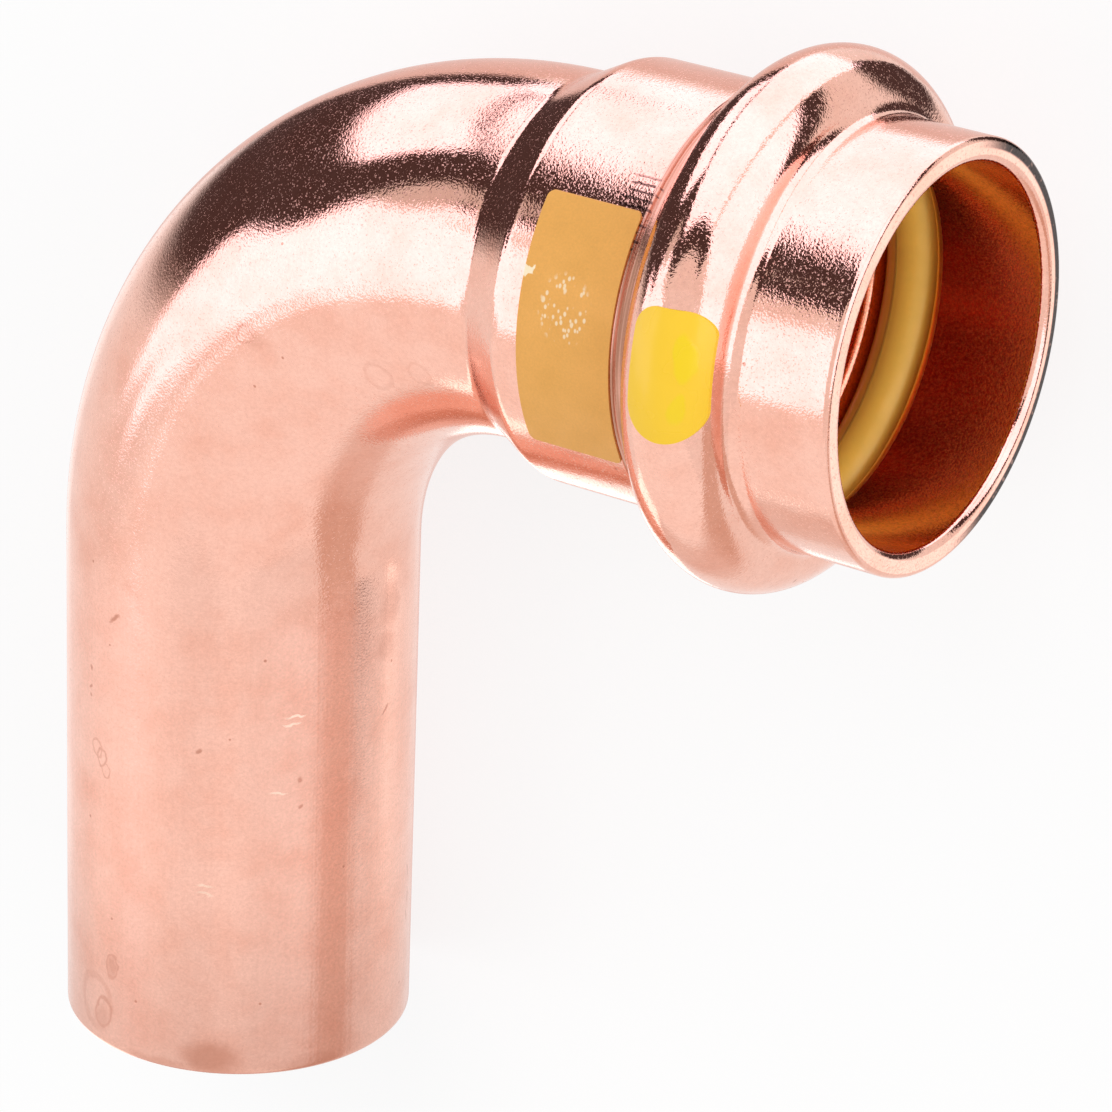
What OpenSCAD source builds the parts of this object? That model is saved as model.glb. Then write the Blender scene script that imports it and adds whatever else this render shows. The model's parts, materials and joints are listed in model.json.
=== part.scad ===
// Press fitting for gas pipe: a copper elbow of ninety degrees with a plain end and one press socket.
// It is one drawn tube, bent and end-formed, with a seal ring in the socket's bead.
// The elbow lies on its side. The leg and the bead rest on z = 0, with the plain end towards -Y.

/* [Tube] */
// Outside diameter of the plain end, and of the pipe that the socket takes
tube_d = 22; // [18:0.5:28]
// Wall of the tube
tube_wall = 1.2; // [0.9:0.05:1.5]
// Radius of the bend, to the tube's axis
bend_r = 23.2; // [20:0.1:40]
// Straight length of the plain end, below the bend
leg_len = 32.8; // [20:0.1:60]
// Rounding of the plain end's outer edge
leg_edge = 0.4; // [0.2:0.05:0.5]
// Deburring bevel inside the plain end
leg_bevel = 0.3; // [0.1:0.05:0.5]

/* [Press socket] */
// Room for the pipe in the socket's bore, on the radius
pipe_room = 0.1; // [0.05:0.01:0.3]
// Wall of the socket
socket_wall = 1.5; // [1.1:0.05:1.8]
// Straight neck between the bend and the flare
neck_len = 0.4; // [0.3:0.1:6]
// Length of the flare from the neck up to the socket
flare_len = 3.8; // [2.6:0.1:8]
// Arc at each end of the flare's cone
flare_round = 1.5; // [0.6:0.1:2]
// Length of the socket's rear cylinder, from the flare to the bead's middle
rear_len = 12.1; // [10:0.1:24]
// Length from the bead's middle to the rim
front_len = 9.5; // [6:0.1:16]
// Rounding of the rim's outer edge
rim_edge = 0.3; // [0.1:0.05:0.5]
// Rounding of the rim's inner edge, which leads the pipe in
rim_lead = 0.5; // [0.2:0.05:0.7]

/* [Bead and seal ring] */
// Thickness of the ring's cord
ring_cord = 3.7; // [2.6:0.1:3.8]
// How far the ring reaches inside the pipe's surface, on the radius
ring_bite = 0.1; // [0.05:0.01:0.2]
// Room round the cord in the bead
ring_room = 0.15; // [0.05:0.01:0.25]
// Wall of the bead
bead_wall = 1.1; // [1:0.05:1.6]
// Rounding of the chamber's two edges, where it opens to the bore
chamber_edge = 0.5; // [0.2:0.05:0.7]
// Fillet between the bead and the guide
root_fillet = 0.8; // [0.3:0.05:1.2]
// Width of the rolled groove behind the bead
groove_w = 1.2; // [0.8:0.05:1.6]
// Depth of the rolled groove
groove_depth = 0.3; // [0.1:0.05:0.4]
// Land between the groove and the bead
groove_land = 0.15; // [0.1:0.05:0.4]

/* [Markings] */
// Thickness of the ink and paint
film = 0.1; // [0.06:0.01:0.2]
// Length of the printed field along the socket
field_len = 6.2; // [3:0.1:6.4]
// Width of the printed field across the socket
field_w = 14.6; // [8:0.1:18]
// Rounding of the field's corners
field_corner = 0.4; // [0.2:0.05:1.4]
// Distance from the flare to the field's near edge
field_gap = 1.3; // [0.1:0.05:1.4]
// Turn of the field about the socket, from the upper side towards the bend's back
field_turn = 4; // [-60:1:60]
// Length of the paint dot round the bead
dot_len = 7.6; // [5:0.1:9]
// Width of the paint dot across the bead
dot_w = 4.2; // [3:0.1:4.4]
// Rounding of the dot's straight end
dot_corner = 1.4; // [0.4:0.1:1.6]
// Distance from the bead's crest to the dot's middle, towards the rim
dot_shift = 0.8; // [-0.8:0.1:0.8]
// Turn of the dot about the socket, from the upper side towards the bend's back
dot_turn = 5; // [-60:1:60]

/* [Hidden] */
$fn = 96;
// How far a cut runs past the edge that it opens
over = 1;
// How far arcs that follow each other overlap, so that they cross instead of only touching
lap = 0.004;
tube_r = tube_d / 2;
tube_bore_r = tube_r - tube_wall;
// The socket's bore, and the outside of its two cylinders
bore_r = tube_r + pipe_room;
socket_r = bore_r + socket_wall;
// Stations along the socket's axis, from where the two axes meet
flare_at = bend_r + neck_len;
rear_at = flare_at + flare_len;
bead_at = rear_at + rear_len;
rim_at = bead_at + front_len;
leg_end = bend_r + leg_len;
// The ring and the bead are arcs about one middle circle
ring_mid_r = tube_r - ring_bite + ring_cord / 2;
chamber_arc = ring_cord / 2 + ring_room;
bead_arc = chamber_arc + bead_wall;
bead_top_r = ring_mid_r + bead_arc;
// Half the bead's width where it meets the cylinders
bead_foot = sqrt(bead_arc * bead_arc - pow(socket_r - ring_mid_r, 2));
groove_at = bead_at - bead_foot - groove_land - groove_w;
// Middle of the fillet between bead and guide, along the axis from the bead
hollow_r = socket_r + root_fillet - lap;
hollow_at = sqrt(pow(bead_arc + root_fillet - lap, 2) - pow(hollow_r - ring_mid_r, 2));
// Turn about the leg at which the bead comes down to the level of the leg
bead_reach = norm([bead_at, ring_mid_r]);
lie_turn = atan2(ring_mid_r, bead_at) - asin((tube_r - bead_arc) / bead_reach);
// Middle of the lying elbow's outline, seen from above
far_x = (rim_at - rim_edge) * cos(lie_turn) + (socket_r - rim_edge) * sin(lie_turn) + rim_edge;
mid_x = (far_x - tube_r) / 2;
mid_y = (bead_top_r - leg_end) / 2;

// Sections are drawn with the radius across and the axis upwards

// Area from the axis out to the neck and the flare, a cone from radius r0 to r1 with an arc at each end
module flare_area(r0, r1) {
    rise = r1 - r0;
    arc = min(flare_round, 0.9 * (flare_len * flare_len + rise * rise) / (4 * rise));
    slope = atan2(rise - 2 * arc, flare_len) + asin(2 * arc / norm([flare_len, 2 * arc - rise]));
    run = arc * sin(slope);
    step = arc * (1 - cos(slope));
    cone = [[r0 + step, run], [r1 - step, flare_len - run]];
    difference() {
        union() {
            translate([0, -neck_len]) square([r0, neck_len]);
            polygon([[0, 0], [r0 + step, 0], cone[0], cone[1], [r1 - step, flare_len], [0, flare_len]]);
            intersection() {
                square([r1, flare_len]);
                translate([r1 - arc, flare_len]) circle(arc + lap);
            }
        }
        translate([r0 + arc, 0]) circle(arc + lap);
    }
}

// What a rounding of radius r takes off a square corner at the origin, towards -X and -Y
module corner_cut(r) {
    difference() {
        translate([-r, -r]) square(r + over);
        translate([-r, -r]) circle(r);
    }
}

// Fillet between the bead and the guide: what fills the corner, or the round that hollows it
module root_fill() {
    polygon([[ring_mid_r, 0], [bore_r, 0], [bore_r, hollow_at], [hollow_r, hollow_at]]);
}

module root_hollow() {
    translate([hollow_r, hollow_at]) circle(root_fillet);
}

// Rolled groove in the rear cylinder, just behind the bead
module groove_cut() {
    half = groove_w / 2;
    arc = (half * half + groove_depth * groove_depth) / (2 * groove_depth);
    translate([socket_r - groove_depth + arc, groove_at + half]) circle(arc);
}

// Outside of the neck, flare, rear cylinder, bead and guide
module socket_outside() {
    difference() {
        union() {
            translate([0, flare_at]) flare_area(tube_r, socket_r);
            translate([0, rear_at]) square([socket_r, rim_at - rear_at]);
            translate([ring_mid_r, bead_at]) circle(bead_arc);
            translate([0, bead_at]) root_fill();
        }
        translate([0, bead_at]) root_hollow();
        translate([socket_r, rim_at]) corner_cut(rim_edge);
        groove_cut();
    }
}

// Waterway, flare, pipe bore and ring chamber
module socket_inside() {
    translate([0, bend_r - over]) square([tube_bore_r, over]);
    translate([0, flare_at]) flare_area(tube_bore_r, bore_r);
    translate([0, rear_at]) square([bore_r, rim_at - rear_at + over]);
    translate([ring_mid_r, bead_at]) circle(chamber_arc);
    translate([0, bead_at - chamber_arc]) square([ring_mid_r, 2 * chamber_arc]);
    translate([bore_r, bead_at - chamber_arc]) mirror([1, 0]) corner_cut(chamber_edge);
    translate([bore_r, bead_at + chamber_arc]) rotate(180) corner_cut(chamber_edge);
    translate([bore_r, rim_at]) mirror([1, 0]) corner_cut(rim_lead);
}

// Section of the plain end, from the bend down to its cut edge
module leg_section() {
    difference() {
        translate([tube_bore_r, bend_r]) square([tube_wall, leg_len]);
        translate([tube_r, leg_end]) corner_cut(leg_edge);
        translate([tube_bore_r, leg_end]) rotate(45) square(leg_bevel * sqrt(2), center = true);
    }
}

// Rounded rectangle, length along the socket
module field_outline() {
    square([field_len - 2 * field_corner, field_w], center = true);
    square([field_len, field_w - 2 * field_corner], center = true);
    for (x = [-1, 1], y = [-1, 1])
        translate([x * (field_len / 2 - field_corner), y * (field_w / 2 - field_corner)]) circle(field_corner);
}

// Dab of paint, length round the bead: one end round, the other straight with round corners
module dot_outline() {
    body_len = dot_len - dot_w / 2;
    translate([0, dot_w / 2 - dot_len / 2]) circle(dot_w / 2);
    translate([-dot_w / 2, dot_w / 2 - dot_len / 2]) square([dot_w, body_len - dot_corner]);
    translate([dot_corner - dot_w / 2, dot_w / 2 - dot_len / 2]) square([dot_w - 2 * dot_corner, body_len]);
    for (x = [-1, 1])
        translate([x * (dot_w / 2 - dot_corner), dot_len / 2 - dot_corner]) circle(dot_corner);
}

// Puts a piece made about the two axes down on its side
module laid() {
    translate([-mid_x, -mid_y, tube_r]) rotate([0, -lie_turn, 0]) children();
}

// Revolves a section about the socket's axis, which points to +X
module about_socket() {
    rotate([0, 90, 0]) rotate_extrude() children();
}

// Carries a flat outline outwards from the socket, at a station along its axis and a turn about it
module outwards(at, turn) {
    rotate([-turn, 0, 0]) translate([at, 0, 0]) linear_extrude(bead_top_r + over) children();
}

module elbow_body() {
    color([0.85, 0.55, 0.43]) laid() {
        rotate([90, 0, 0]) rotate_extrude() leg_section();
        translate([bend_r, -bend_r, 0]) rotate(90) rotate_extrude(angle = 90) translate([bend_r, 0]) difference() {
            circle(tube_r);
            circle(tube_bore_r);
        }
        about_socket() difference() {
            socket_outside();
            socket_inside();
        }
    }
}

module seal_ring() {
    color([0.78, 0.6, 0.16]) laid() about_socket() translate([ring_mid_r, bead_at]) circle(ring_cord / 2);
}

module marking_field() {
    color([0.83, 0.62, 0.2]) laid() intersection() {
        about_socket() translate([socket_r, rear_at]) square([film, groove_at - rear_at]);
        outwards(rear_at + field_gap + field_len / 2, field_turn) field_outline();
    }
}

module marking_dot() {
    color([0.95, 0.8, 0.1]) laid() intersection() {
        about_socket() intersection() {
            translate([ring_mid_r, bead_at]) difference() {
                circle(bead_arc + film);
                circle(bead_arc);
            }
            translate([socket_r, bead_at - bead_arc - film]) square(2 * (bead_arc + film));
        }
        outwards(bead_at + dot_shift, dot_turn) dot_outline();
    }
}

elbow_body();
seal_ring();
marking_field();
marking_dot();
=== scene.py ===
"""Press fit elbow for gas pipe: copper body, seal ring, printed field and dab of paint, in a plain studio.

The elbow lies on its side as the CAD model does. Lengths are in metres, and every piece sits in the model's
own frame. A finish reads its place in millimetres along the tube and in degrees round it.
"""

import json
import math

import bpy
from bpy.props import FloatProperty, FloatVectorProperty, IntProperty, PointerProperty
from mathutils import Matrix, Vector

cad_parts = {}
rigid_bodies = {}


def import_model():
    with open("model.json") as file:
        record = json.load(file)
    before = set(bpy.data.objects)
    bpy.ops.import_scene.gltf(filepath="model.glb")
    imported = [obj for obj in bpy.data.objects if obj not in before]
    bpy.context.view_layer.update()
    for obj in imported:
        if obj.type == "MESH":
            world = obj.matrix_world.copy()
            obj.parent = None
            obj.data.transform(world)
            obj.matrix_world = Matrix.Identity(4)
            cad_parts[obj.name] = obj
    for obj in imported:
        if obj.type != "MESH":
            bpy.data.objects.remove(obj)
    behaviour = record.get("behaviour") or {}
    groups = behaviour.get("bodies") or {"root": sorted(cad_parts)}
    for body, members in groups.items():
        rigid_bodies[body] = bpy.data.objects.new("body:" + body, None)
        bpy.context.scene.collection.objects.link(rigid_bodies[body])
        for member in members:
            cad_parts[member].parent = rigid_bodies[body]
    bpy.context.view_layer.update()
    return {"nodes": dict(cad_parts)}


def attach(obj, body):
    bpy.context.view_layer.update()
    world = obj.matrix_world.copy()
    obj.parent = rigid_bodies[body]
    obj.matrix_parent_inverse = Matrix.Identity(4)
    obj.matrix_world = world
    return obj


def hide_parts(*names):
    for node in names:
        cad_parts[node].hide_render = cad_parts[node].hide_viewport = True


bl_info = {
    "name": "Press fit elbow",
    "version": (1, 0, 0),
    "blender": (4, 5, 0),
    "location": "View3D > Sidebar > Elbow",
    "description": "Builds the copper elbow, its seal ring, its markings and a plain studio",
    "category": "Object",
}

for starter in list(bpy.data.objects):
    bpy.data.objects.remove(starter)

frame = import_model()
MM = 0.001
DEGREES = 180 / math.pi


# Properties: the sizes and colours that a user would change


def length_prop(name, description, millimetres):
    return FloatProperty(name=name, description=description, default=millimetres * MM, min=0.0, precision=5,
                         subtype="DISTANCE", unit="LENGTH")


def colour_prop(name, description, red, green, blue):
    return FloatVectorProperty(name=name, description=description, default=(red, green, blue), size=3,
                               min=0.0, max=1.0, subtype="COLOR")


def angle_prop(name, description, degrees):
    return FloatProperty(name=name, description=description, default=math.radians(degrees), subtype="ANGLE",
                         unit="ROTATION")


class ElbowSizes(bpy.types.PropertyGroup):
    tube_radius: length_prop("Tube radius", "Outside radius of the plain end and the bend", 11.0)
    tube_bore: length_prop("Tube bore", "Inside radius of the plain end and the bend", 9.8)
    bend_radius: length_prop("Bend radius", "Radius of the bend, to the tube's axis", 23.2)
    leg_length: length_prop("Leg length", "Straight length of the plain end", 32.8)
    leg_edge: length_prop("Leg edge", "Rounding of the plain end's outer edge", 0.4)
    leg_bevel: length_prop("Leg bevel", "Deburring bevel inside the plain end", 0.3)
    neck_length: length_prop("Neck length", "Straight neck between the bend and the flare", 0.4)
    flare_length: length_prop("Flare length", "Length of the flare from the neck to the socket", 3.8)
    flare_round: length_prop("Flare round", "Arc at each end of the flare's cone", 1.5)
    rear_length: length_prop("Rear length", "From the flare to the bead's middle", 12.1)
    front_length: length_prop("Front length", "From the bead's middle to the rim", 9.5)
    socket_radius: length_prop("Socket radius", "Outside radius of the socket's two cylinders", 12.6)
    socket_bore: length_prop("Socket bore", "Inside radius of the socket", 11.1)
    bead_middle: length_prop("Bead middle", "Radius of the circle that the bead and the ring share", 12.75)
    bead_arc: length_prop("Bead arc", "Radius of the bead's outer arc", 3.1)
    chamber_arc: length_prop("Chamber arc", "Radius of the ring's chamber", 2.0)
    chamber_edge: length_prop("Chamber edge", "Rounding of the chamber's two edges", 0.5)
    root_fillet: length_prop("Root fillet", "Fillet between the bead and the guide", 0.8)
    groove_width: length_prop("Groove width", "Width of the rolled groove behind the bead", 1.2)
    groove_depth: length_prop("Groove depth", "Depth of the rolled groove", 0.3)
    groove_land: length_prop("Groove land", "Land between the groove and the bead", 0.15)
    rim_edge: length_prop("Rim edge", "Rounding of the rim's outer edge", 0.3)
    rim_lead: length_prop("Rim lead", "Rounding of the rim's inner edge", 0.5)
    steps_around: IntProperty(name="Steps around", description="Faces round the copper body", default=176,
                              min=24, max=240)
    lie_turn: angle_prop("Lying turn", "Rise of the socket, whose bead is thicker than the leg", 6.917227)
    axes_meet: FloatVectorProperty(name="Axes meet", size=3, subtype="XYZ", unit="LENGTH",
                                   description="Where the axes of leg and socket meet, in the model's frame",
                                   default=(-19.563438 * MM, 20.075 * MM, 11.0 * MM))


class ElbowColours(bpy.types.PropertyGroup):
    copper: colour_prop("Copper", "Polished copper of the bend and the socket", 0.93, 0.53, 0.42)
    copper_deep: colour_prop("Deep copper", "Darker mottling in the copper", 0.86, 0.43, 0.32)
    copper_bore: colour_prop("Bore copper", "Unpolished copper inside the tube", 0.97, 0.38, 0.23)
    stain: colour_prop("Stain", "Dried drops and handling marks on the plain end", 0.5, 0.2, 0.13)
    # Scratches painted pale: painted highlights
    scratch_highlight: colour_prop("Scratch", "Bright scratches on the plain end", 1.0, 0.8, 0.62)
    groove: colour_prop("Groove", "Browned copper of the rolled groove", 0.42, 0.2, 0.13)
    chatter: colour_prop("Chatter", "Short rolled-in ticks beside the groove", 0.12, 0.06, 0.05)
    # Painted shade: a dark line along the rim's edge on the lower side, not a burr
    painted_rim_shade: colour_prop("Burr", "Dark line on the lower side of the rim's edge", 0.024, 0.012, 0.01)
    ink: colour_prop("Ink", "Printed field on the socket", 0.84, 0.41, 0.085)
    ink_worn: colour_prop("Worn ink", "Specks where the print has come off", 0.95, 0.8, 0.55)
    paint: colour_prop("Paint", "Dab of paint on the bead", 0.93, 0.58, 0.018)
    paint_deep: colour_prop("Deep paint", "Thicker patches in the dab", 0.86, 0.6, 0.0)
    rubber: colour_prop("Rubber", "Seal ring", 1.0, 0.66, 0.105)
    floor: colour_prop("Floor", "Pale studio floor", 0.93, 0.93, 0.93)


class ElbowStage(bpy.types.PropertyGroup):
    camera_turn: angle_prop("Camera turn", "Turn of the view about the upright elbow", 33.89)
    camera_height: angle_prop("Camera height", "Height of the view over the upright elbow's horizon", 23.11)
    camera_roll: angle_prop("Camera roll", "Roll of the view", 2.2)
    camera_distance: length_prop("Camera distance", "From the camera to the point that it looks at", 300.0)
    camera_lens: FloatProperty(name="Camera lens", description="Focal length on a 36 mm sensor",
                               default=163.43, subtype="DISTANCE_CAMERA", unit="CAMERA")
    fill: FloatProperty(name="Fill light", description="Strength of the studio's even light", default=0.66,
                        min=0.0)
    key: FloatProperty(name="Lamp light", description="Watts of a lamp whose share is one", default=3.0,
                       min=0.0)


# Small helpers for node trees


class Tree:
    """Adds nodes to a tree. An input is a socket to link, or a plain value."""

    def __init__(self, tree):
        self.tree = tree

    def add(self, kind, inputs=None, **settings):
        node = self.tree.nodes.new(kind)
        for key, value in settings.items():
            setattr(node, key, value)
        for key, value in (inputs or {}).items():
            self.put(node.inputs[key], value)
        return node

    def put(self, socket, value):
        if isinstance(value, bpy.types.NodeSocket):
            self.tree.links.new(value, socket)
        else:
            socket.default_value = value

    def math(self, operation, *values):
        return self.add("ShaderNodeMath", dict(enumerate(values)), operation=operation).outputs[0]

    def times(self, *values):
        product = values[0]
        for value in values[1:]:
            product = self.math("MULTIPLY", product, value)
        return product

    def vector(self, x, y, z):
        return self.add("ShaderNodeCombineXYZ", {"X": x, "Y": y, "Z": z}).outputs[0]

    def split(self, vector):
        return self.add("ShaderNodeSeparateXYZ", {0: vector}).outputs

    def ramp(self, value, start, end, low=0.0, high=1.0):
        """Climbs smoothly from low at start to high at end, and stays level outside them."""
        inputs = {"Value": value, "From Min": start, "From Max": end, "To Min": low, "To Max": high}
        return self.add("ShaderNodeMapRange", inputs, interpolation_type="SMOOTHSTEP").outputs[0]

    def band(self, value, start, end, soft):
        """One between start and end, and zero outside them."""
        return self.times(self.ramp(value, start - soft, start), self.ramp(value, end, end + soft, 1.0, 0.0))

    def blend(self, share, first, second):
        node = self.add("ShaderNodeMix", {"Factor": share, "A": first, "B": second}, data_type="FLOAT")
        return node.outputs["Result"]

    def tint(self, share, first, second):
        node = self.add("ShaderNodeMix", data_type="RGBA")
        sockets = [s for s in node.inputs if s.enabled]
        for socket, value in zip(sockets, (share, first, second)):
            self.put(socket, tuple(value) + (1.0,) if isinstance(value, (tuple, list)) else value)
        return [s for s in node.outputs if s.enabled][0]


class Shader(Tree):
    """A material's tree, with its surface shader and the patterns that the finishes share.

    A pattern's scale is in cells per unit of its vector: metres for a place, and millimetres for a flat.
    """

    def __init__(self, name):
        self.material = bpy.data.materials.new(name)
        self.material.use_nodes = True
        super().__init__(self.material.node_tree)
        self.surface = self.tree.nodes["Principled BSDF"]

    def set(self, **inputs):
        for key, value in inputs.items():
            self.put(self.surface.inputs[key.replace("_", " ")], value)

    def place(self):
        return self.add("ShaderNodeTexCoord").outputs["Object"]

    def attribute(self, name, output):
        return self.add("ShaderNodeAttribute", attribute_name=name).outputs[output]

    def stretch(self, vector, scale):
        return self.add("ShaderNodeMapping", {"Vector": vector, "Scale": scale}).outputs[0]

    def noise(self, vector, scale, detail=2.0, roughness=0.5):
        inputs = {"Vector": vector, "Scale": scale, "Detail": detail, "Roughness": roughness}
        return self.add("ShaderNodeTexNoise", inputs).outputs[0]

    def specks(self, vector, scale, size, share):
        """Round specks in some of the cells of a pattern. Size and share run from zero to one."""
        cells = self.add("ShaderNodeTexVoronoi", {"Vector": vector, "Scale": scale}).outputs
        chosen = self.math("LESS_THAN", self.split(cells["Color"])[0], share)
        return self.times(self.ramp(cells["Distance"], 0.6 * size, size, 1.0, 0.0), chosen)

    def vector_math(self, operation, *values):
        return self.add("ShaderNodeVectorMath", dict(enumerate(values)), operation=operation).outputs

    def length(self, vector):
        return self.vector_math("LENGTH", vector)["Value"]

    def wavy(self, flat, place, scale, amount):
        """A flat pattern's coordinates, shaken a little, so that outlines in it come out uneven."""
        inputs = {"Vector": place, "Scale": scale, "Detail": 1.0}
        shake = self.add("ShaderNodeTexNoise", inputs).outputs["Color"]
        middle = self.vector_math("SUBTRACT", flat, (amount / 2, amount / 2, 0.0))[0]
        return self.vector_math("MULTIPLY_ADD", shake, (amount, amount, 0.0), middle)[0]

    def spot(self, flat, x, y, half_width, half_length, tilt=0.0):
        """Distance from an oval's middle on a flat pattern. It is one at the oval's edge."""
        inputs = {"Vector": flat, "Location": (x, y, 0.0), "Rotation": (0.0, 0.0, math.radians(tilt)),
                  "Scale": (half_width, half_length, 1.0)}
        return self.length(self.add("ShaderNodeMapping", inputs, vector_type="TEXTURE").outputs[0])

    def shade(self, colour, amount):
        """A colour times an amount of light."""
        return self.add("ShaderNodeVectorMath", {0: colour, "Scale": amount}, operation="SCALE").outputs[0]

    def bump(self, height, distance, normal=None):
        """Relief of that depth in metres, on top of an earlier one."""
        inputs = {"Height": height, "Distance": distance, "Strength": 1.0}
        if normal is not None:
            inputs["Normal"] = normal
        return self.add("ShaderNodeBump", inputs).outputs[0]


def dimmed(colour, share):
    return tuple(share * channel for channel in colour)


# Copper body

# Distances of the extra points beside an edge, which keep its shading crisp
CLOSE = 0.02 * MM
WIDE = 0.1 * MM
# Points that lie closer than this are joined, and a body with fewer faces than this has failed
WELD = 0.001 * MM
LEAST_FACES = 1000


def arc(middle, radius, start, end, steps):
    """Points of an arc in the (along, radius) plane. Angles in degrees, from +along towards +radius."""
    points = []
    for step in range(steps + 1):
        angle = math.radians(start + (end - start) * step / steps)
        points.append((middle[0] + radius * math.cos(angle), middle[1] + radius * math.sin(angle)))
    return points


def flare(start, low, high, length, bend, steps):
    """Cone that climbs from one radius to another, with an arc of radius bend at each end."""
    rise = high - low
    tilt = math.atan2(rise - 2 * bend, length) + math.asin(2 * bend / math.hypot(length, 2 * bend - rise))
    degrees = math.degrees(tilt)
    foot = arc((start, low + bend), bend, 270, 270 + degrees, steps)
    shoulder = arc((start + length, high - bend), bend, 90 + degrees, 90, steps)
    return foot + shoulder


def run(start, end, radius, steps):
    """Straight stretch at one radius."""
    return [(start + (end - start) * step / steps, radius) for step in range(steps + 1)]


def socket_stations(sizes):
    """Stations along the tube's middle line, which is zero where the leg meets the bend."""
    bend = sizes.bend_radius * math.pi / 2
    flare_at = bend + sizes.neck_length
    rear_at = flare_at + sizes.flare_length
    bead_at = rear_at + sizes.rear_length
    foot = math.sqrt(sizes.bead_arc**2 - (sizes.socket_radius - sizes.bead_middle) ** 2)
    groove_end = bead_at - foot - sizes.groove_land
    return {
        "leg": -sizes.leg_length,
        "bend": bend,
        "flare": flare_at,
        "rear": rear_at,
        "groove": groove_end - sizes.groove_width,
        "groove_end": groove_end,
        "foot": bead_at - foot,
        "bead": bead_at,
        "rim": bead_at + sizes.front_length,
    }


def outer_section(sizes, at):
    """Outside of the copper body, from the plain end's edge to the rim's inner edge."""
    tube, socket = sizes.tube_radius, sizes.socket_radius
    half = sizes.groove_width / 2
    roll = (half**2 + sizes.groove_depth**2) / (2 * sizes.groove_depth)
    reach = math.degrees(math.asin(half / roll))
    hollow = socket + sizes.root_fillet
    hollow_at = math.sqrt((sizes.bead_arc + sizes.root_fillet) ** 2 - (hollow - sizes.bead_middle) ** 2)
    meet = math.degrees(math.atan2(hollow - sizes.bead_middle, hollow_at))
    foot = 180 - math.degrees(math.asin((socket - sizes.bead_middle) / sizes.bead_arc))
    edge_at, lead_at = at["rim"] - sizes.rim_edge, at["rim"] - sizes.rim_lead
    points = arc((at["leg"] + sizes.leg_edge, tube - sizes.leg_edge), sizes.leg_edge, 180, 90, 6)
    points += run(at["leg"] + sizes.leg_edge + 2 * WIDE, -2 * WIDE, tube, 40)
    points += run(0.0, at["bend"], tube, 64)
    points += flare(at["flare"], tube, socket, sizes.flare_length, sizes.flare_round, 12)
    points += run(at["rear"] + WIDE, at["groove"] - CLOSE, socket, 10)
    roll_middle = (at["groove"] + half, socket - sizes.groove_depth + roll)
    points += arc(roll_middle, roll, 270 - reach, 270 + reach, 16)
    points += run(at["groove_end"] + CLOSE, at["foot"] - CLOSE, socket, 2)
    points += arc((at["bead"], sizes.bead_middle), sizes.bead_arc, foot, meet, 48)
    points += arc((at["bead"] + hollow_at, hollow), sizes.root_fillet, 180 + meet, 270, 14)[1:]
    points += run(at["bead"] + hollow_at + WIDE, edge_at - WIDE / 2, socket, 10)
    points += arc((edge_at, socket - sizes.rim_edge), sizes.rim_edge, 90, 0, 8)
    points += [(at["rim"], socket - sizes.rim_edge - 1.5 * CLOSE)]
    points += [(at["rim"], sizes.socket_bore + sizes.rim_lead + 1.5 * CLOSE)]
    points += arc((lead_at, sizes.socket_bore + sizes.rim_lead), sizes.rim_lead, 0, -90, 10)
    return points


def inner_section(sizes, at):
    """Bore of the copper body, from the rim back to the plain end."""
    wall, edge, bore = sizes.chamber_arc, sizes.chamber_edge, sizes.socket_bore
    front, back = at["bead"] + wall + edge, at["bead"] - wall - edge
    points = run(at["rim"] - sizes.rim_lead - WIDE / 2, front + WIDE / 2, bore, 10)
    points += arc((front, bore + edge), edge, 270, 180, 8)
    points += arc((at["bead"], sizes.bead_middle), wall, 0, 180, 28)
    points += arc((back, bore + edge), edge, 0, -90, 8)
    points += run(back - WIDE / 2, at["rear"] + WIDE / 2, bore, 6)
    points += flare(at["flare"], sizes.tube_bore, bore, sizes.flare_length, sizes.flare_round, 8)[::-1]
    points += run(at["bend"], 0.0, sizes.tube_bore, 40)
    points += run(-2 * WIDE, at["leg"] + sizes.leg_bevel + CLOSE, sizes.tube_bore, 8)
    return points


def end_section(sizes, at):
    """Bevel and cut face of the plain end."""
    bevel = sizes.leg_bevel
    return [
        (at["leg"] + bevel, sizes.tube_bore),
        (at["leg"] + bevel - CLOSE, sizes.tube_bore + CLOSE),
        (at["leg"] + CLOSE, sizes.tube_bore + bevel - CLOSE),
        (at["leg"], sizes.tube_bore + bevel),
        (at["leg"], sizes.tube_bore + bevel + CLOSE),
        (at["leg"], sizes.tube_radius - sizes.leg_edge - CLOSE),
    ]


def body_section(sizes):
    """The copper body's closed section as (along, radius, inside) points. Inside is one in the bore."""
    at = socket_stations(sizes)
    points = [(along, radius, 0.0) for along, radius in outer_section(sizes, at)]
    points += [(along, radius, 1.0) for along, radius in inner_section(sizes, at)]
    points += [(along, radius, 0.0) for along, radius in end_section(sizes, at)]
    return points + points[:1]


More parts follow.
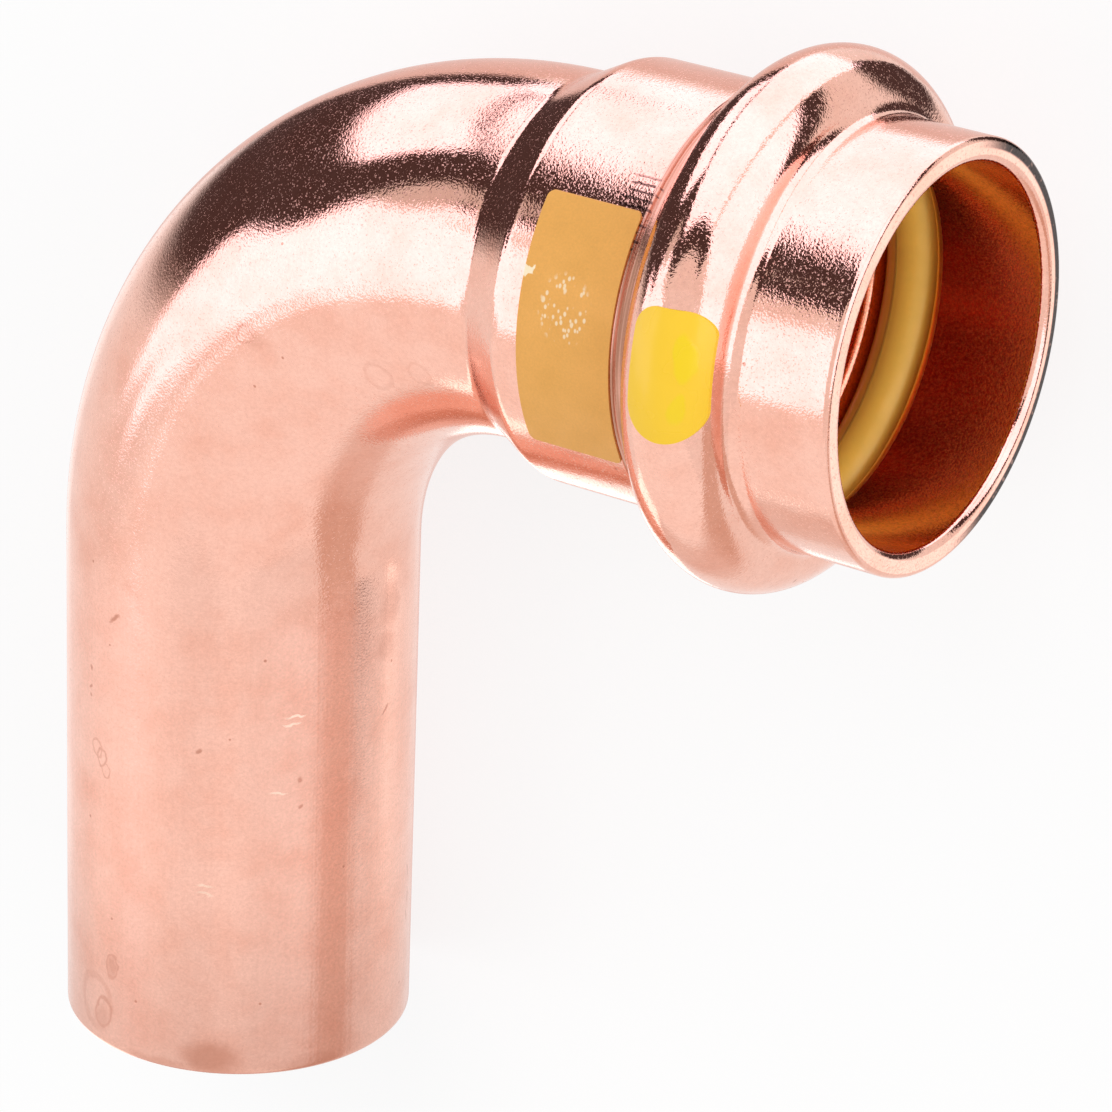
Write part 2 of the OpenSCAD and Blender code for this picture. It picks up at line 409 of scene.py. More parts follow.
def sweep_tree():
    """Geometry Nodes that carry a section along the leg, round the bend and along the socket."""
    tree = bpy.data.node_groups.new("Tube sweep", "GeometryNodeTree")
    for name, kind in (("Section", "Geometry"), ("Bend radius", "Float"), ("Lying turn", "Float"),
                       ("Axes meet", "Vector"), ("Steps around", "Int"), ("Finish", "Material")):
        tree.interface.new_socket(name, in_out="INPUT", socket_type="NodeSocket" + kind)
    tree.interface.new_socket("Body", in_out="OUTPUT", socket_type="NodeSocketGeometry")
    g = Tree(tree)
    given = g.add("NodeGroupInput").outputs
    counts = g.add("GeometryNodeAttributeDomainSize", {0: given["Section"]}, component="MESH").outputs
    count = counts["Point Count"]
    last = g.math("SUBTRACT", count, 1.0)
    seam = g.math("ADD", given["Steps around"], 1.0)
    sheet = {"Size X": last, "Size Y": given["Steps around"], "Vertices X": count, "Vertices Y": seam}
    grid = g.add("GeometryNodeMeshGrid", sheet).outputs["Mesh"]
    place = g.add("GeometryNodeInputPosition").outputs[0]
    cell = g.split(place)
    ring = g.math("ROUND", g.math("MULTIPLY_ADD", last, 0.5, cell[0]))
    share = g.math("ADD", g.math("DIVIDE", cell[1], given["Steps around"]), 0.5)
    around = g.times(share, 2 * math.pi)
    sample = g.add("GeometryNodeSampleIndex", {"Geometry": given["Section"], "Value": place, "Index": ring},
                   data_type="FLOAT_VECTOR", domain="POINT").outputs[0]
    along, radius, inside = g.split(sample)
    bend = given["Bend radius"]
    turn = g.math("MINIMUM", g.math("MAXIMUM", g.math("DIVIDE", along, bend), 0.0), math.pi / 2)
    past = g.math("SUBTRACT", along, g.times(turn, bend))
    sine, cosine = g.math("SINE", turn), g.math("COSINE", turn)
    out = g.times(radius, g.math("COSINE", around))
    side = g.times(radius, g.math("SINE", around))
    reach = g.math("ADD", bend, out)
    x = g.math("SUBTRACT", g.math("MULTIPLY_ADD", sine, past, bend), g.times(cosine, reach))
    y = g.math("SUBTRACT", g.math("MULTIPLY_ADD", cosine, past, g.times(sine, reach)), bend)
    tilt = g.times(given["Lying turn"], -1.0)
    lying = g.add("ShaderNodeVectorRotate", {"Vector": g.vector(x, y, side), "Angle": tilt},
                  rotation_type="Y_AXIS").outputs[0]
    there = g.add("ShaderNodeVectorMath", {0: lying, 1: given["Axes meet"]}, operation="ADD").outputs[0]
    spot = g.vector(out, side, along)
    skin = g.add("GeometryNodeStoreNamedAttribute", {"Geometry": grid, "Name": "skin", "Value": spot},
                 data_type="FLOAT_VECTOR", domain="POINT").outputs[0]
    bore = g.add("GeometryNodeStoreNamedAttribute", {"Geometry": skin, "Name": "inside", "Value": inside},
                 data_type="FLOAT", domain="POINT").outputs[0]
    swept = g.add("GeometryNodeSetPosition", {"Geometry": bore, "Position": there}).outputs[0]
    closed = g.add("GeometryNodeMergeByDistance", {"Geometry": swept, "Distance": WELD}).outputs[0]
    outward = g.add("GeometryNodeFlipFaces", {"Mesh": closed}).outputs[0]
    smooth = g.add("GeometryNodeSetShadeSmooth", {"Geometry": outward}).outputs[0]
    real = g.add("GeometryNodeRealizeInstances", {"Geometry": smooth}).outputs[0]
    made = g.add("GeometryNodeSetMaterial", {"Geometry": real, "Material": given["Finish"]}).outputs[0]
    g.add("NodeGroupOutput", {"Body": made})
    return tree


def grow(name, mesh, tree, values):
    """Runs a tree on a mesh and returns a plain object with the result."""
    obj = bpy.data.objects.new(name, mesh)
    bpy.context.scene.collection.objects.link(obj)
    modifier = obj.modifiers.new("Grow", "NODES")
    modifier.node_group = tree
    for item in tree.interface.items_tree:
        if item.in_out == "INPUT" and item.name in values:
            modifier[item.identifier] = values[item.name]
    graph = bpy.context.evaluated_depsgraph_get()
    result = bpy.data.meshes.new_from_object(obj.evaluated_get(graph))
    obj.modifiers.remove(modifier)
    obj.data = result
    result.name = name
    return obj


# Stations in millimetres where the polish starts and is full, and the length of the plain end's darker part
POLISH_STARTS = (1.0, 8.0)
LOW_DARKENING = 16.0
# The chatter's turn and step in degrees, and its reach in millimetres from the groove's rear edge
CHATTER_TURN = (-48.0, -29.0)
CHATTER_STEP = 2.15
CHATTER_REACH = (-0.9, 0.75)
# Where the painted rim shade starts and is full: millimetres from the rim's face, and from the start of its
# rounding
RIM_SHADE_FACE = (-0.12, -0.03)
RIM_SHADE_RADIUS = (-0.46, -0.3)
# Where the painted rim shade is full and where it ends, as shares of the rim's radius from the socket's axis
RIM_SHADE_SIDE = (-0.45, -0.1)
# A dried drop's dark edge: from and to, as shares of the drop's size, and its softness
DROP_EDGE = (0.82, 0.95, 0.13)
# Cells in a metre of the patterns on the copper
PATCHES = 260.0
PEEL = 700.0
UNEVEN_EDGES = 1500.0
SHAKE = 2500.0
FLECKS = 4500.0
GRAIN = 6500.0
DULL_GRAIN = 7500.0
# Depths of the copper's relief
PEEL_DEPTH = 0.005 * MM
GRAIN_DEPTH = 0.008 * MM
LINE_DEPTH = 0.008 * MM
GROOVE_LINE_DEPTH = 0.025 * MM
# Roughness: the least and what a pattern adds to it, on the satin and on the polished copper
SATIN_ROUGH = (0.17, 0.1)
BRIGHT_ROUGH = (0.035, 0.36)
# Roughness of the groove, of the bore from its smooth to its rough grain, and of the lip before the ring
GROOVE_ROUGH = 0.22
BORE_ROUGH = (0.14, 0.26)
LIP_ROUGH = 0.4

# Marks of handling on the copper: kind, turn in degrees from the upper side towards the inside of the bend,
# millimetres along the tube from the bend's start, half width and half length in millimetres, tilt in
# degrees, and strength
# The scratch marks are painted pale, as painted highlights of the scratches
MARKS = (
    ("ring", -17.0, -29.9, 1.7, 2.0, 0, 0.3),
    ("ring", -13.0, -30.4, 0.8, 1.2, -15, 0.6),
    ("blot", -14.0, -30.9, 1.1, 1.3, -15, 0.4),
    ("ring", -8.5, -26.9, 0.55, 0.95, -10, 0.5),
    ("blot", -8.5, -26.9, 0.6, 1.0, -10, 0.5),
    ("blot", 28.5, -31.6, 2.6, 1.7, 0, 0.85),
    ("blot", 12.0, -32.6, 3.5, 0.8, 0, 0.5),
    ("blot", 62.0, -32.3, 3.0, 0.9, 0, 0.4),
    ("blot", -7.5, -2.9, 0.75, 0.2, 35, 1.0),
    ("blot", -19.5, -7.0, 0.2, 0.22, 0, 0.9),
    ("blot", -19.8, -8.3, 0.17, 0.2, 0, 0.9),
    ("blot", -19.6, -8.8, 0.17, 0.2, 0, 0.9),
    ("ring", -16.2, -12.2, 0.55, 0.7, 20, 0.45),
    ("ring", -13.6, -12.7, 0.5, 0.65, -20, 0.55),
    ("ring", -11.6, -13.5, 0.45, 0.5, 0, 0.45),
    ("blot", 93.0, -2.3, 1.5, 2.2, 0, 0.55),
    ("blot", 91.0, -5.0, 1.4, 1.6, 0, 0.4),
    ("blot", 91.0, -9.4, 0.6, 0.16, 35, 0.9),
    ("blot", 112.0, -22.3, 0.2, 0.9, 10, 0.7),
    ("blot", 112.5, -24.0, 0.2, 0.8, -12, 0.7),
    ("blot", 111.5, -25.4, 0.2, 0.7, 10, 0.6),
    ("blot", 116.0, -32.2, 1.2, 0.18, 25, 0.8),
    ("blot", 24.0, -10.4, 0.28, 0.2, 20, 0.9),
    ("blot", 57.0, -12.4, 0.22, 0.25, 0, 0.8),
    ("blot", 57.0, -14.2, 0.22, 0.22, 0, 0.8),
    ("ring", -0.5, 20.4, 0.6, 0.65, 0, 0.5),
    ("blot", 2.5, 21.0, 1.1, 1.0, 30, 0.25),
    ("ring", 27.0, 28.6, 1.1, 1.2, 0, 0.2),
    ("ring", 26.5, 32.6, 0.9, 1.0, 0, 0.2),
    ("scratch_highlight", 55.0, -8.1, 0.9, 0.14, 4, 1.0),
    ("scratch_highlight", 54.0, -8.6, 0.8, 0.13, 4, 0.9),
    ("scratch_highlight", 49.5, -13.2, 0.8, 0.12, 0, 0.8),
    ("scratch_highlight", 26.5, -19.6, 0.8, 0.12, 0, 0.6),
    ("scratch_highlight", 26.5, -20.1, 0.7, 0.12, 0, 0.5),
)


def handling_marks(s, flat, arc_degree):
    """Shares of dark marks and of light marks on the copper. The light marks are scratches painted pale as
    highlights.
    """
    shares = {"dark": 0.0, "light": 0.0}
    for kind, turn, station, half_width, half_length, tilt, strength in MARKS:
        far = s.spot(flat, turn * arc_degree, station, half_width, half_length, tilt)
        share = s.band(far, *DROP_EDGE) if kind == "ring" else s.ramp(far, 0.3, 1.0, 1.0, 0.0)
        tone = "light" if kind == "scratch_highlight" else "dark"
        shares[tone] = s.math("MAXIMUM", shares[tone], s.times(share, strength))
    return shares["dark"], shares["light"]


def groove_chatter(s, at, station, turn, shake):
    """Short ticks across the groove, on one stretch of its turn."""
    beat = s.math("FRACT", s.math("DIVIDE", s.math("MULTIPLY_ADD", shake, 0.8, turn), CHATTER_STEP))
    beat = s.math("ABSOLUTE", s.math("SUBTRACT", beat, 0.5))
    uneven = s.math("MULTIPLY_ADD", shake, 1.6, station)
    length = s.band(uneven, at["groove"] + CHATTER_REACH[0], at["groove"] + CHATTER_REACH[1], 0.2)
    return s.times(length, s.band(turn, *CHATTER_TURN, 2.0), s.ramp(beat, 0.1, 0.2, 1.0, 0.0))


def rim_shade_line(s, sizes, at, station, out, side, shake):
    """A dark line of painted shade along the rim's outer edge, on the lower side of the lying elbow."""
    edge = sizes.socket_radius - sizes.rim_edge
    radius = s.length(s.vector(out, side, 0.0))
    face = s.times(s.ramp(station, at["rim"] + RIM_SHADE_FACE[0], at["rim"] + RIM_SHADE_FACE[1]),
                   s.ramp(radius, edge + RIM_SHADE_RADIUS[0] * MM, edge + RIM_SHADE_RADIUS[1] * MM))
    lower = s.ramp(side, RIM_SHADE_SIDE[0] * edge, RIM_SHADE_SIDE[1] * edge, 1.0, 0.0)
    return s.times(face, lower, s.ramp(shake, 0.25, 0.4, 0.8, 1.0))


def copper_finish(sizes, colours):
    """Drawn copper: a satin plain end with drawing lines and stains, and a polished bend and socket."""
    s = Shader("drawn_copper")
    place = s.place()
    skin = s.attribute("skin", "Vector")
    inside = s.attribute("inside", "Fac")
    out, side, along = s.split(skin)
    at = {key: value / MM for key, value in socket_stations(sizes).items()}
    turn = s.times(s.math("ARCTAN2", s.times(out, -1.0), side), DEGREES)
    station = s.math("DIVIDE", along, MM)
    arc_degree = sizes.tube_radius / MM / DEGREES
    flat = s.vector(s.times(turn, arc_degree), station, 0.0)
    wavy = s.wavy(flat, place, UNEVEN_EDGES, 0.5)

    patches = s.noise(place, PATCHES, 3.0, 0.6)
    polish = s.ramp(s.math("MULTIPLY_ADD", patches, 9.0, station), *POLISH_STARTS)
    plain = s.math("SUBTRACT", 1.0, polish)
    grain = s.noise(place, GRAIN, 1.0, 0.6)
    fleck = s.noise(place, FLECKS, 3.0, 0.8)
    peel = s.noise(place, PEEL, 1.0, 0.5)
    shake = s.noise(place, SHAKE, 1.0)
    lines = s.noise(s.stretch(skin, (3600.0, 3600.0, 60.0)), 1.0, 1.0, 0.6)
    turned_lines = s.noise(s.vector(s.times(station, 7.0), s.times(turn, 0.03), 0.0), 1.0, 1.0, 0.6)
    groove = s.band(station, at["groove"] - 0.05, at["foot"], 0.12)
    dark, light = handling_marks(s, wavy, arc_degree)
    dust = s.specks(flat, 0.5, 0.06, 0.4)
    chatter = groove_chatter(s, at, station, turn, shake)
    painted_rim_shade = rim_shade_line(s, sizes, at, station, out, side, shake)
    lip_at = at["bead"] + sizes.chamber_arc / MM
    lip = s.band(station, lip_at + 0.05, lip_at + sizes.chamber_edge / MM, 0.1)

    colour = s.tint(s.ramp(patches, 0.3, 0.85), tuple(colours.copper), tuple(colours.copper_deep))
    low = s.ramp(station, at["leg"], at["leg"] + LOW_DARKENING, 0.82, 1.0)
    streak = s.math("MULTIPLY_ADD", s.times(lines, plain), 0.06, 0.97)
    colour = s.shade(colour, s.times(low, streak, s.math("MULTIPLY_ADD", fleck, 0.4, 0.8)))
    browned = s.times(groove, s.ramp(turned_lines, 0.3, 0.6, 0.5, 0.95))
    colour = s.tint(browned, colour, tuple(colours.groove))
    colour = s.tint(s.times(s.math("MAXIMUM", dark, dust), 0.75), colour, tuple(colours.stain))
    # Painted highlight: the scratch marks are tinted pale
    colour = s.tint(s.times(light, 0.8), colour, tuple(colours.scratch_highlight))
    colour = s.tint(s.times(chatter, 0.9), colour, tuple(colours.chatter))
    # Painted shade: the dark line along the lower side of the rim's edge
    colour = s.tint(painted_rim_shade, colour, tuple(colours.painted_rim_shade))
    bore = s.shade(tuple(colours.copper_bore), s.ramp(fleck, 0.3, 0.7, 0.75, 1.15))
    # Painted reflection: the chamber's lip is tinted towards the ring's yellow, the light that it would
    # mirror from the lit ring
    bore = s.tint(s.times(lip, 0.6), bore, tuple(colours.rubber))
    s.set(Base_Color=s.tint(inside, colour, bore), Metallic=1.0)

    satin = s.math("MULTIPLY_ADD", patches, SATIN_ROUGH[1], SATIN_ROUGH[0])
    dull_grain = s.ramp(s.noise(place, DULL_GRAIN, 1.0, 0.6), 0.58, 0.7)
    bright = s.math("MULTIPLY_ADD", dull_grain, BRIGHT_ROUGH[1], BRIGHT_ROUGH[0])
    rough = s.blend(groove, s.blend(polish, satin, bright), GROOVE_ROUGH)
    rough = s.math("MULTIPLY_ADD", light, 0.15, rough)
    bore_rough = s.blend(lip, s.ramp(grain, 0.3, 0.7, *BORE_ROUGH), LIP_ROUGH)
    s.set(Roughness=s.blend(inside, rough, bore_rough))
    drawn = s.times(lines, s.ramp(station, -4.0, 4.0, 1.0, 0.0))
    normal = s.bump(peel, PEEL_DEPTH)
    normal = s.bump(grain, GRAIN_DEPTH, normal)
    normal = s.bump(drawn, LINE_DEPTH, normal)
    normal = s.bump(s.times(turned_lines, groove), GROOVE_LINE_DEPTH, normal)
    s.set(Normal=normal)
    return s.material


def mesh_of_points(name, points):
    mesh = bpy.data.meshes.new(name)
    mesh.from_pydata(points, [(i, i + 1) for i in range(len(points) - 1)], [])
    return mesh


class ELBOW_OT_copper_body(bpy.types.Operator):
    """Builds the drawn copper body: plain end, bend and press socket"""

    bl_idname = "elbow.copper_body"
    bl_label = "Copper body"

    def execute(self, context):
        sizes, colours = context.scene.elbow_sizes, context.scene.elbow_colours
        section = mesh_of_points("body_section", body_section(sizes))
        body = grow("copper_body", section, sweep_tree(), {
            "Bend radius": sizes.bend_radius,
            "Lying turn": sizes.lie_turn,
            "Axes meet": list(sizes.axes_meet),
            "Steps around": sizes.steps_around,
            "Finish": copper_finish(sizes, colours),
        })
        if len(body.data.polygons) < LEAST_FACES:
            raise RuntimeError("the copper body came out empty")
        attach(body, "root")
        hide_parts("elbow_body")
        return {"FINISHED"}


# Seal ring and markings

# Patches on the two markings: millimetres along the socket and across it, half width and half length
WORN_PRINT = (31.7, -2.3, 2.4, 2.9)
CHIPPED_PRINT = (28.9, -3.9, 0.6, 0.4)
THICK_PAINT = ((41.4, -2.6, 0.6, 1.6), (41.2, 0.3, 0.5, 1.0))
# Millimetres across the dab for each degree round the bead
DAB_ARC = 0.27
# Both edges of the parting line, in millimetres along the socket from the ring's middle. Its darker colour
# is painted shade.
PARTING_LINE = (-0.56, -0.44)


def socket_place(s, sizes):
    """Millimetres along the socket's axis from where the axes meet, and degrees from its upper side."""
    moved = s.vector_math("SUBTRACT", s.place(), tuple(sizes.axes_meet))[0]
    level = s.add("ShaderNodeVectorRotate", {"Vector": moved, "Angle": sizes.lie_turn},
                  rotation_type="Y_AXIS").outputs[0]
    x, y, z = s.split(level)
    turn = s.times(s.math("ARCTAN2", s.times(y, -1.0), z), DEGREES)
    return s.math("DIVIDE", x, MM), turn


def rubber_finish(sizes, colours):
    """Smooth moulded rubber, with the mould's fine parting line round it. The line's darker colour is
    painted shade.
    """
    s = Shader("ring_rubber")
    place = s.place()
    station = socket_place(s, sizes)[0]
    bead_at = (sizes.bend_radius + sizes.neck_length + sizes.flare_length + sizes.rear_length) / MM
    line = s.band(station, bead_at + PARTING_LINE[0], bead_at + PARTING_LINE[1], 0.08)
    cloud = s.noise(place, 900.0, 3.0, 0.6)
    colour = s.tint(cloud, tuple(colours.rubber), dimmed(colours.rubber, 0.84))
    # Painted shade: the parting line is coloured darker
    s.set(Base_Color=s.tint(s.times(line, 0.6), colour, dimmed(colours.rubber, 0.45)))
    s.set(Roughness=s.ramp(cloud, 0.3, 0.7, 0.3, 0.42))
    s.set(Normal=s.bump(s.noise(place, 6000.0, 2.0), 0.004 * MM, s.bump(line, 0.02 * MM)))
    return s.material


def ink_finish(sizes, colours):
    """Satin printing ink, with worn specks near the field's middle and a chip at its rear edge."""
    s = Shader("field_print")
    place = s.place()
    station, turn = socket_place(s, sizes)
    flat = s.vector(station, s.times(turn, sizes.socket_radius / MM / DEGREES), 0.0)
    near = s.ramp(s.spot(flat, *WORN_PRINT), 0.2, 1.0, 1.0, 0.0)
    fine = s.specks(s.stretch(flat, (1.0, 0.7, 1.0)), 3.4, 0.42, 0.8)
    coarse = s.specks(s.stretch(flat, (1.0, 0.8, 1.0)), 1.5, 0.27, 0.5)
    worn = s.times(s.math("MAXIMUM", fine, coarse), s.ramp(near, 0.2, 0.5, 0.0, 0.7))
    chip = s.ramp(s.spot(s.wavy(flat, place, 2600.0, 1.1), *CHIPPED_PRINT), 0.75, 0.95, 1.0, 0.0)
    cloud = s.noise(place, 500.0, 3.0, 0.6)
    ink = s.tint(cloud, tuple(colours.ink), dimmed(colours.ink, 0.85))
    ink = s.shade(ink, s.math("MULTIPLY_ADD", s.noise(place, 8000.0, 2.0), 0.2, 0.9))
    s.set(Base_Color=s.tint(s.math("MAXIMUM", worn, chip), ink, tuple(colours.ink_worn)))
    s.set(Roughness=s.ramp(cloud, 0.3, 0.7, 0.42, 0.55))
    s.set(Normal=s.bump(s.noise(place, 5000.0, 2.0), 0.004 * MM))
    return s.material


def paint_finish(sizes, colours):
    """Glossy paint, thicker in two patches beside the dab's middle."""
    s = Shader("dot_gloss_paint")
    place = s.place()
    station, turn = socket_place(s, sizes)
    flat = s.wavy(s.vector(station, s.times(turn, DAB_ARC), 0.0), place, 700.0, 0.8)
    upper, lower = [s.ramp(s.spot(flat, *patch), 0.75, 1.05, 1.0, 0.0) for patch in THICK_PAINT]
    thick = s.math("MAXIMUM", upper, s.times(lower, 0.9))
    cloud = s.noise(place, 420.0, 2.0, 0.5)
    thin = s.tint(cloud, tuple(colours.paint), dimmed(colours.paint, 0.94))
    s.set(Base_Color=s.tint(thick, thin, tuple(colours.paint_deep)))
    s.set(Roughness=s.ramp(cloud, 0.3, 0.7, 0.2, 0.3))
    s.set(Normal=s.bump(thick, 0.015 * MM, s.bump(s.noise(place, 700.0, 2.0), 0.008 * MM)))
    return s.material


def dress(node, material):
    """Gives a CAD node its finish."""
    slots = frame["nodes"][node].data.materials
    slots.clear()
    slots.append(material)


class ELBOW_OT_seal_ring(bpy.types.Operator):
    """Gives the seal ring its rubber"""

    bl_idname = "elbow.seal_ring"
    bl_label = "Seal ring"

    def execute(self, context):
        dress("seal_ring", rubber_finish(context.scene.elbow_sizes, context.scene.elbow_colours))
        return {"FINISHED"}


class ELBOW_OT_markings(bpy.types.Operator):
    """Gives the printed field its worn ink and the dab its paint"""

    bl_idname = "elbow.markings"
    bl_label = "Markings"

    def execute(self, context):
        sizes, colours = context.scene.elbow_sizes, context.scene.elbow_colours
        dress("marking_field", ink_finish(sizes, colours))
        dress("marking_dot", paint_finish(sizes, colours))
        return {"FINISHED"}


# Stage: floor, studio world, lamps and camera

# Half the floor's side, and the lamps' distance and side, in metres
FLOOR_HALF = 4.0
LAMP_DISTANCE = 1.2
LAMP_SIZE = 0.9
# Share of the floor's look that is plain white
FLOOR_GLOW = 0.8
# Each lamp's azimuth and elevation in degrees, and its share of the lamp light
LAMPS = (("lamp_top", 95, 42, 1.0), ("lamp_right", 10, 20, 1.8), ("lamp_left", 200, 50, 1.0))
# The camera's sensor in millimetres, and the distances in metres between which it sees
SENSOR_WIDTH = 36.0
CLIP = (0.01, 20.0)
# The point of the upright elbow that the camera looks at, from where the axes meet
LOOK_AT = (23.41 * MM, 0.0, -18.82 * MM)
# Azimuths of the panels run half a turn to either side of this one, in degrees
PANEL_MIDDLE = 135.0

# Light of the dark flags, of the soft boxes and of the two low cards at the right
DARK = (0.08, 0.055, 0.055)
BOX = (2.0, 1.87, 2.2)
LOW_CARD = (0.77, 0.6, 0.52)


def white(level):
    return (level, level, level)


# What polished metal sees: azimuth from, to and the width of its soft edges, the same for elevation, in
# degrees, and colour
STUDIO_PANELS = (
    ("front wall", 206, 315, 3, 6, 58, 4, white(1.1)),
    ("pink card below", 138, 240, 3, -90, -46, 2, (0.86, 0.69, 0.65)),
    ("flag overhead", 45, 140, 1, 40, 52, 1, DARK),
    ("flag at the back", 124, 142, 1, -47, 44, 1, DARK),
    ("flag at the left", 142, 176, 10, -46, 29, 3, DARK),
    ("flag below", -20, 74, 3, -85, -57, 2, DARK),
    ("soft box right", -13, 56, 1, -21, 40, 1, BOX),
    ("flag under the right box", -22, 57, 2, -34, -23, 2, DARK),
    ("flag beside the right box", -23, -15, 2, -34, -14, 2, DARK),
    ("soft box top", 61, 124.5, 1, -50, 39, 1, BOX),
    ("soft box foot", 61, 131, 1, -58, -36, 1, BOX),
    ("strip light", 128, 148, 1, -38, 8, 1, BOX),
    ("soft box left, head", 143, 170, 1, 27, 42, 1, BOX),
    ("soft box left, top", 153, 170, 1, 42, 57, 1, BOX),
    ("soft box left, middle", 170, 190, 2, 12, 57, 2, BOX),
    ("soft box left, tail", 190, 197, 1, 23, 57, 2, BOX),
    ("soft box left, heel", 197, 200, 1, 35, 57, 2, BOX),
    ("soft box left, foot", 200, 208, 2, 42, 57, 1, BOX),
    ("grey card", 136, 154, 1, 26, 35, 1, white(0.8)),
    ("low reflector", 189, 213, 2, -45, -32, 2, white(1.15)),
    ("side strip", 222, 238, 2, -45, 5, 2, white(1.8)),
    ("low card front", 240, 315, 5, -20, -2, 5, (0.9, 0.8, 0.76)),
    ("low card corner", 308, 315, 30, -17, 5, 4, LOW_CARD),
    ("low card right", -45, -20, 4, -15, 4, 5, LOW_CARD),
    ("rim card", -37, -24, 2, -54, -45, 2, white(1.5)),
)


def studio_world(stage):
    """An even white room. Polished metal also sees soft boxes and dark flags in it, by direction."""
    world = bpy.data.worlds.new("studio")
    world.use_nodes = True
    world.cycles.sampling_method = "NONE"
    w = Tree(world.node_tree)
    look = w.add("ShaderNodeTexCoord").outputs["Generated"]
    turned = w.add("ShaderNodeVectorRotate", {"Vector": look, "Angle": math.radians(-PANEL_MIDDLE)},
                   rotation_type="Z_AXIS").outputs[0]
    x, y, z = w.split(turned)
    azimuth = w.math("MULTIPLY_ADD", w.math("ARCTAN2", y, x), DEGREES, PANEL_MIDDLE)
    elevation = w.times(w.math("ARCSINE", z), DEGREES)
    colour = white(1.0)
    for _, left, right, side_soft, low, high, soft, light in STUDIO_PANELS:
        share = w.times(w.band(azimuth, left, right, side_soft), w.band(elevation, low, high, soft))
        colour = w.tint(share, colour, light)
    rays = w.add("ShaderNodeLightPath").outputs
    mirrored = w.math("MAXIMUM", rays["Is Glossy Ray"], rays["Is Transmission Ray"])
    room = world.node_tree.nodes["Background"]
    w.put(room.inputs["Color"], (1.0, 1.0, 1.0, 1.0))
    w.put(room.inputs["Strength"], w.blend(rays["Is Camera Ray"], stage.fill, 1.0))
    panels = w.add("ShaderNodeBackground", {"Color": colour, "Strength": 1.0})
    mix = w.add("ShaderNodeMixShader", {0: mirrored, 1: room.outputs[0], 2: panels.outputs[0]})
    w.put(world.node_tree.nodes["World Output"].inputs["Surface"], mix.outputs[0])
    bpy.context.scene.world = world


def floor_finish(colours):
    """Matt white. The camera sees it partly as plain white, so that the elbow's shadow stays pale."""
    s = Shader("studio_floor")
    s.set(Base_Color=tuple(colours.floor) + (1.0,), Roughness=0.9, Specular_IOR_Level=0.0)
    rays = s.add("ShaderNodeLightPath").outputs
    mirrored = s.math("MAXIMUM", rays["Is Glossy Ray"], rays["Is Transmission Ray"])
    share = s.times(s.math("MAXIMUM", rays["Is Camera Ray"], mirrored), FLOOR_GLOW)
    glow = s.add("ShaderNodeEmission", {"Color": (1.0, 1.0, 1.0, 1.0), "Strength": 1.0}).outputs[0]
    mix = s.add("ShaderNodeMixShader", {0: share, 1: s.surface.outputs[0], 2: glow})
    s.put(s.tree.nodes["Material Output"].inputs["Surface"], mix.outputs[0])
    return s.material


def build_floor(colours):
    mesh = bpy.data.meshes.new("floor")
    corners = [(x * FLOOR_HALF, y * FLOOR_HALF, 0.0) for x, y in ((-1, -1), (1, -1), (1, 1), (-1, 1))]
    mesh.from_pydata(corners, [], [(0, 1, 2, 3)])
    mesh.materials.append(floor_finish(colours))
    floor = bpy.data.objects.new("floor", mesh)
    bpy.context.scene.collection.objects.link(floor)
    floor.visible_glossy = False


def build_lamp(name, azimuth, elevation, watts):
    """A soft square lamp that looks at the elbow. Metal sees the studio's soft boxes in its place."""
    data = bpy.data.lights.new(name, "AREA")
    data.shape, data.size, data.energy = "SQUARE", LAMP_SIZE, watts
    lamp = bpy.data.objects.new(name, data)
    bpy.context.scene.collection.objects.link(lamp)
    a, e = math.radians(azimuth), math.radians(elevation)
    away = Vector((math.cos(a) * math.cos(e), math.sin(a) * math.cos(e), math.sin(e)))
    facing = away.to_track_quat("Z", "Y").to_matrix().to_4x4()
    lamp.matrix_world = Matrix.Translation(away * LAMP_DISTANCE) @ facing
    lamp.visible_glossy = False


def laid_down(sizes, vector):
    """A direction of the upright elbow, leg down and socket to the right, turned as the elbow lies."""
    x, y, z = vector.x, vector.z, -vector.y
    sine, cosine = math.sin(sizes.lie_turn), math.cos(sizes.lie_turn)
    return Vector((x * cosine - z * sine, y, x * sine + z * cosine))


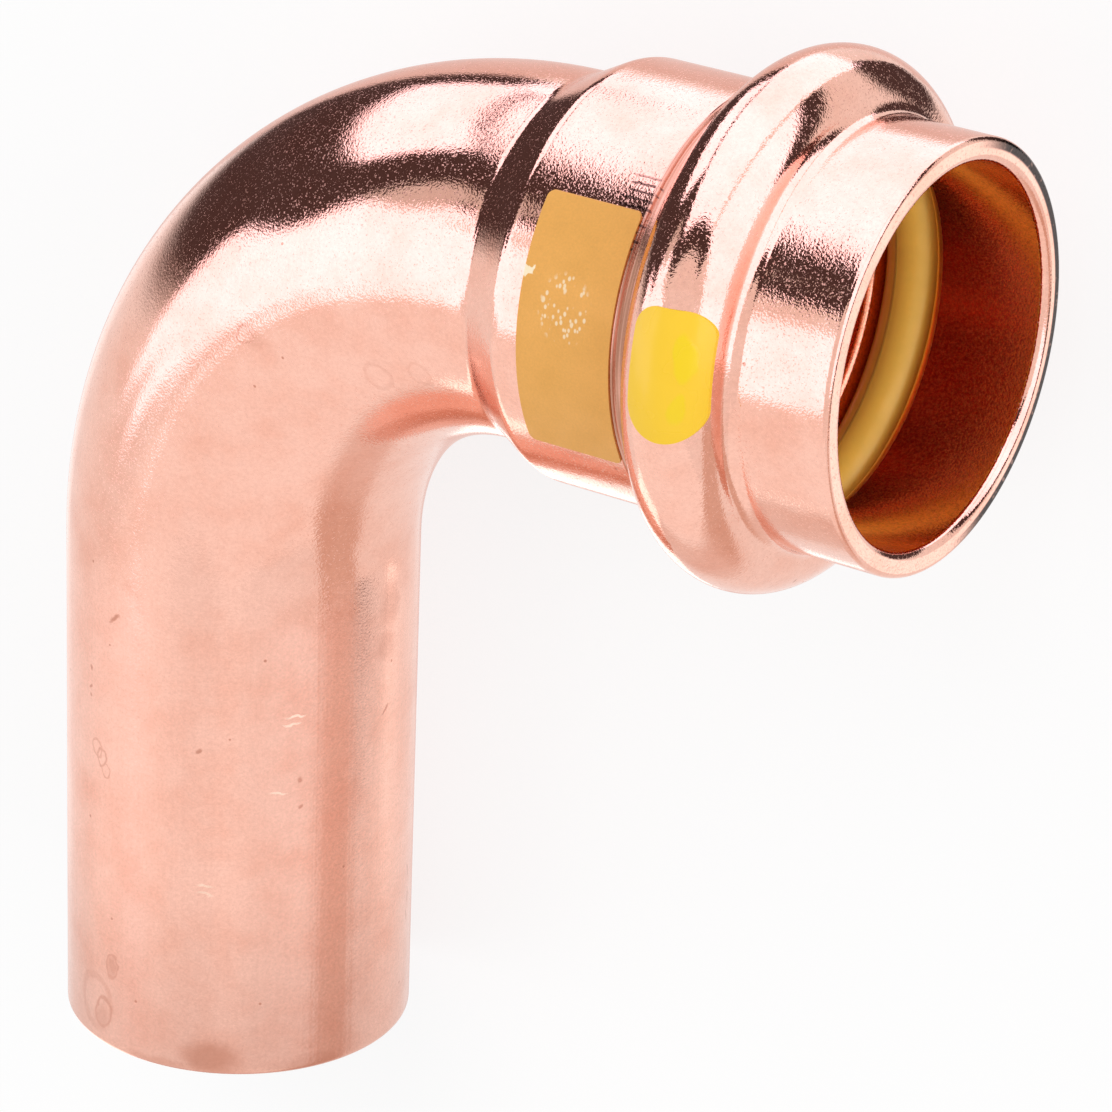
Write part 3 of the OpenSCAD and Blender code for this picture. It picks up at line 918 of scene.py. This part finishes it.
def build_camera(sizes, stage):
    a, e, roll = stage.camera_turn, stage.camera_height, stage.camera_roll
    back = Vector((math.sin(a) * math.cos(e), -math.cos(a) * math.cos(e), math.sin(e)))
    right = Vector((math.cos(a), math.sin(a), 0.0))
    up = back.cross(right)
    right, up = math.cos(roll) * right + math.sin(roll) * up, math.cos(roll) * up - math.sin(roll) * right
    place = Vector(sizes.axes_meet) + laid_down(sizes, Vector(LOOK_AT) + back * stage.camera_distance)
    data = bpy.data.cameras.new("camera")
    data.lens, data.sensor_width = stage.camera_lens, SENSOR_WIDTH
    data.clip_start, data.clip_end = CLIP
    camera = bpy.data.objects.new("camera", data)
    bpy.context.scene.collection.objects.link(camera)
    axes = [laid_down(sizes, v) for v in (right, up, back)]
    camera.matrix_world = Matrix.Translation(place) @ Matrix(axes).transposed().to_4x4()
    bpy.context.scene.camera = camera


class ELBOW_OT_stage(bpy.types.Operator):
    """Builds the pale floor, the studio's light and the camera"""

    bl_idname = "elbow.stage"
    bl_label = "Stage"

    def execute(self, context):
        scene = context.scene
        scene.view_settings.view_transform = "Standard"
        studio_world(scene.elbow_stage)
        build_floor(scene.elbow_colours)
        for name, azimuth, elevation, share in LAMPS:
            build_lamp(name, azimuth, elevation, share * scene.elbow_stage.key)
        build_camera(scene.elbow_sizes, scene.elbow_stage)
        return {"FINISHED"}


class ELBOW_PT_panel(bpy.types.Panel):
    """Lists the elbow's pieces"""

    bl_idname = "ELBOW_PT_panel"
    bl_label = "Press fit elbow"
    bl_space_type = "VIEW_3D"
    bl_region_type = "UI"
    bl_category = "Elbow"

    def draw(self, context):
        for operator in OPERATORS:
            self.layout.operator(operator.bl_idname)
        for group in (context.scene.elbow_sizes, context.scene.elbow_colours, context.scene.elbow_stage):
            column = self.layout.column()
            for key in group.bl_rna.properties.keys():
                if key not in ("rna_type", "name"):
                    column.prop(group, key)


GROUPS = (("elbow_sizes", ElbowSizes), ("elbow_colours", ElbowColours), ("elbow_stage", ElbowStage))
OPERATORS = (ELBOW_OT_copper_body, ELBOW_OT_seal_ring, ELBOW_OT_markings, ELBOW_OT_stage)


def register():
    for name, group in GROUPS:
        bpy.utils.register_class(group)
        setattr(bpy.types.Scene, name, PointerProperty(type=group))
    for operator in OPERATORS:
        bpy.utils.register_class(operator)
    bpy.utils.register_class(ELBOW_PT_panel)


def unregister():
    bpy.utils.unregister_class(ELBOW_PT_panel)
    for operator in reversed(OPERATORS):
        bpy.utils.unregister_class(operator)
    for name, group in reversed(GROUPS):
        delattr(bpy.types.Scene, name)
        bpy.utils.unregister_class(group)


def main():
    register()
    bpy.ops.elbow.copper_body()
    bpy.ops.elbow.seal_ring()
    bpy.ops.elbow.markings()
    bpy.ops.elbow.stage()


if __name__ == "__main__":
    main()
